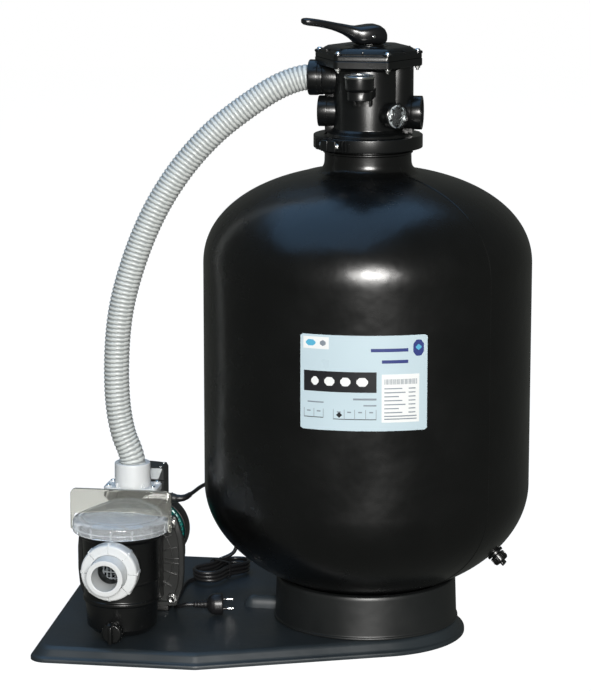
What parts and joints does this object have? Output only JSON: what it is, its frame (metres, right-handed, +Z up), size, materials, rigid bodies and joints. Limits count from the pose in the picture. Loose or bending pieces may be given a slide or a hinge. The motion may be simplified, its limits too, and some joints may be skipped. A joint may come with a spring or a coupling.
{
  "type": "sand filter tank",
  "caption": "Pool sand filter set: black pressure tank with a top-mounted multiport valve, joined by a ribbed hose to a strainer pump on one moulded plinth.",
  "frame": {"origin": "on the tank's axis, in the plinth's underside", "axes": "+Z up the tank's axis, +X to the side of the waste port and the tank's drain, -X to the pump, -Y to the suction union"},
  "size_m": [0.8336, 0.6526, 1.068],
  "materials": {
    "black_tank": "smooth black blow-moulded glass-filled plastic",
    "black_valve": "black moulded ABS, fine satin",
    "slate_plinth": "dark slate moulded plastic, matt on top",
    "white_fitting": "white ABS or PVC",
    "grey_hose": "light grey ribbed hose",
    "clear_plastic": "clear polycarbonate",
    "pump_black": "black glass-filled polypropylene",
    "teal_paint": "teal gloss paint on aluminium",
    "stainless": "stainless steel",
    "copper_winding": "copper windings in a steel core",
    "rubber": "black rubber",
    "white_plastic": "white ABS",
    "dial_white": "printed white dial",
    "needle_red": "red pointer",
    "basket_grey": "grey moulded basket",
    "cord_black": "black cord sheath"
  },
  "bodies": {
    "root": {"base_plate": "slate_plinth", "tank_foot": "black_tank", "tank_shell": "black_tank", "tank_drain_spigot": "black_valve", "clamp_half_front": "black_valve", "clamp_half_rear": "black_valve", "valve_body": "black_valve", "valve_cover": "black_valve", "gauge_case": "black_valve", "hose_collar": "black_valve", "fan_cover": "black_valve", "terminal_box": "black_valve", "cable_gland": "black_valve", "neck_seal": "rubber", "spider_gasket": "rubber", "shaft_seal": "rubber", "standpipe": "white_plastic", "lateral_hub": "white_plastic", "lateral_1": "white_plastic", "lateral_2": "white_plastic", "lateral_3": "white_plastic", "lateral_4": "white_plastic", "lateral_5": "white_plastic", "lateral_6": "white_plastic", "clamp_bolt_left": "stainless", "clamp_bolt_right": "stainless", "front_bearing": "stainless", "rear_bearing": "stainless", "gauge_dial": "dial_white", "gauge_lens": "clear_plastic", "sight_glass": "clear_plastic", "hose": "grey_hose", "strainer_pot": "pump_black", "volute": "pump_black", "motor_bracket": "pump_black", "discharge_socket": "white_fitting", "motor_housing": "teal_paint", "stator": "copper_winding", "power_cord": "cord_black", "cord_hank": "cord_black", "cord_tail": "cord_black", "mains_plug": "cord_black"},
    "handle_swivel": {"slip_washer": "white_plastic"},
    "rotor_stem": {"valve_rotor": "white_plastic", "handle_pin": "stainless", "rotor_spring": "stainless"},
    "lever": {"handle_lever": "black_valve"},
    "needle": {"gauge_needle": "needle_red"},
    "rotating": {"motor_shaft": "stainless", "impeller": "white_plastic", "cooling_fan": "black_valve"},
    "lid_ring": {"lid_seal": "rubber"},
    "lid": {"strainer_lid": "clear_plastic"},
    "basket": {"strainer_basket": "basket_grey"},
    "union_tail": {"suction_tail": "white_fitting"},
    "union_nut": {"suction_nut": "white_fitting"},
    "pot_plug_seal": {"pot_drain_seal": "rubber"},
    "pot_plug": {"pot_drain_plug": "pump_black"},
    "tank_cap_seal": {"tank_drain_seal": "rubber"},
    "tank_cap": {"tank_drain_cap": "black_valve"}
  },
  "joints": [
    {"name": "handle_turn", "type": "hinge", "parent": "root", "child": "handle_swivel", "pos_m": [0, 0, 1.019], "axis": [0, 0, 1], "continuous": true},
    {"name": "rotor_lift", "type": "slide", "parent": "handle_swivel", "child": "rotor_stem", "axis": [0, 0, 1], "range_m": [0, 0.006], "deforming": ["rotor_spring"]},
    {"name": "lever_press", "type": "hinge", "parent": "rotor_stem", "child": "lever", "pos_m": [0, 0, 1.035], "axis": [0.5, -0.866, 0], "range_deg": [0, 15], "stiffness_Nm_per_rad": 8, "springref_deg": -5.73},
    {"name": "needle_turn", "type": "hinge", "parent": "root", "child": "needle", "pos_m": [0, -0.111, 0.976], "axis": [0, 0, -1], "range_deg": [0, 270], "stiffness_Nm_per_rad": 0.002},
    {"name": "motor_spin", "type": "hinge", "parent": "root", "child": "rotating", "pos_m": [-0.395, 0, 0.136], "axis": [0, 1, 0], "continuous": true},
    {"name": "lid_turn", "type": "hinge", "parent": "root", "child": "lid_ring", "pos_m": [-0.395, -0.182, 0.229], "axis": [0, 0, 1], "range_deg": [0, 45]},
    {"name": "lid_lift", "type": "slide", "parent": "lid_ring", "child": "lid", "axis": [0, 0, 1], "range_m": [0, 0.25]},
    {"name": "basket_lift", "type": "slide", "parent": "root", "child": "basket", "axis": [0, 0, 1], "range_m": [0, 0.15]},
    {"name": "union_out", "type": "slide", "parent": "root", "child": "union_tail", "axis": [0, -1, 0], "range_m": [0, 0.012]},
    {"name": "nut_turn", "type": "hinge", "parent": "union_tail", "child": "union_nut", "pos_m": [-0.395, -0.2685, 0.16], "axis": [0, -1, 0], "range_deg": [0, 1080]},
    {"name": "pot_plug_out", "type": "slide", "parent": "root", "child": "pot_plug_seal", "axis": [0, -1, 0], "range_m": [0, 0.015]},
    {"name": "pot_plug_turn", "type": "hinge", "parent": "pot_plug_seal", "child": "pot_plug", "pos_m": [-0.395, -0.25, 0.05], "axis": [0, -1, 0], "range_deg": [0, 1800]},
    {"name": "tank_cap_out", "type": "slide", "parent": "root", "child": "tank_cap_seal", "axis": [0.6801, -0.0835, -0.7283], "range_m": [0, 0.012]},
    {"name": "tank_cap_turn", "type": "hinge", "parent": "tank_cap_seal", "child": "tank_cap", "pos_m": [0.2254, -0.02768, 0.15486], "axis": [0.6801, -0.0835, -0.7283], "range_deg": [0, 1440]}
  ],
  "couplings": [
    {"joint": "rotor_lift", "follows": "lever_press", "m_per_rad": 0.022917},
    {"joint": "basket_lift", "follows": "lid_lift", "ratio": 0.6},
    {"joint": "union_out", "follows": "nut_turn", "m_per_rad": 0.0006365},
    {"joint": "pot_plug_out", "follows": "pot_plug_turn", "m_per_rad": 0.0004774},
    {"joint": "tank_cap_out", "follows": "tank_cap_turn", "m_per_rad": 0.0004774}
  ]
}
